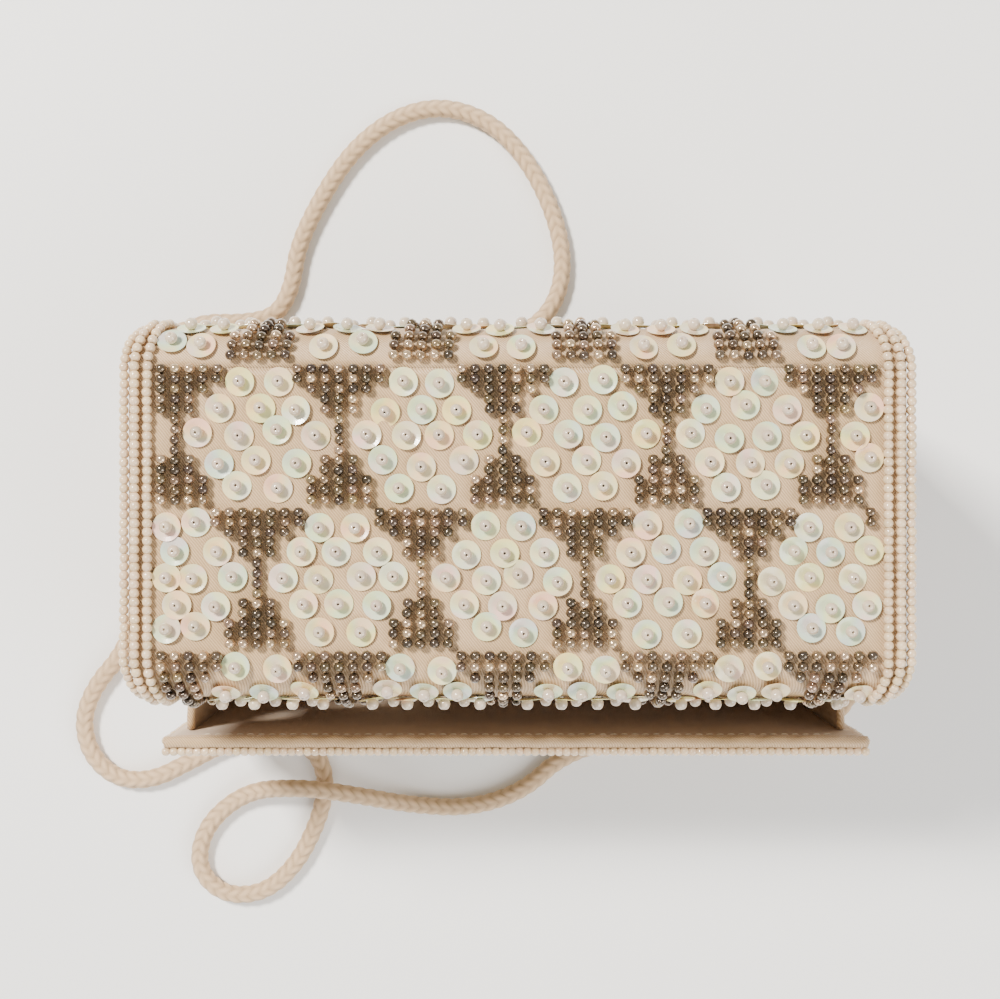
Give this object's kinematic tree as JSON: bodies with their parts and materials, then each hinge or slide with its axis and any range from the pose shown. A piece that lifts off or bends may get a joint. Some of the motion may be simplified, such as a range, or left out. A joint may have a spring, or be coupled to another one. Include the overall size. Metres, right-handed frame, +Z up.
{
  "type": "evening bag",
  "caption": "Upright beaded satin evening bag with a tuck-in flap that lifts on a soft back fold, and a braided carrying cord.",
  "frame": {"origin": "middle of the bottom of the bag, without its cord, on the surface that it stands on", "axes": "+X along the bag's width, to the wearer's left seen from the front; +Y to the back, where the flap folds; +Z up"},
  "size_m": [0.2133, 0.2141, 0.0916],
  "materials": {
    "satin": "padded ivory satin",
    "lining": "beige twill lining",
    "board": "stiffening board",
    "pearls": "cream pearl beads",
    "sequins": "translucent iridescent sequins",
    "silver_beads": "silver-lined glass seed beads",
    "braid": "braided cord",
    "collar": "cord end collar"
  },
  "bodies": {
    "bag": {"back_board": "board", "back_cover": "satin", "back_lining": "lining", "back_sequin_beads": "pearls", "back_sequins": "sequins", "back_side_pearls": "pearls", "back_silver_beads": "silver_beads", "base_board": "board", "base_cover": "satin", "base_lining": "lining", "cord_collar_left": "collar", "cord_collar_right": "collar", "cord_tab_left": "satin", "cord_tab_right": "satin", "fold_cover": "satin", "fold_lining": "lining", "fold_side_pearls": "pearls", "fold_silver_beads": "silver_beads", "front_board": "board", "front_cover": "satin", "front_lining": "lining", "front_sequin_beads": "pearls", "front_sequins": "sequins", "front_side_pearls": "pearls", "front_silver_beads": "silver_beads", "gusset_left": "lining", "gusset_right": "lining", "handle_cord": "braid", "rim_binding": "satin", "rim_pearls": "pearls", "slip_pocket": "lining"},
    "flap": {"flap_cover": "satin", "flap_lining": "lining", "flap_lip_board": "board", "flap_sequin_beads": "pearls", "flap_sequins": "sequins", "flap_side_pearls": "pearls", "flap_silver_beads": "silver_beads", "flap_tongue": "satin", "flap_top_board": "board"}
  },
  "joints": [
    {"name": "flap_lift", "type": "hinge", "parent": "bag", "child": "flap", "pos_m": [0, 0.0436, 0.08705], "axis": [-1, 0, 0], "range_deg": [0, 105], "deforming": ["fold_cover", "fold_lining", "fold_side_pearls", "fold_silver_beads"]}
  ]
}
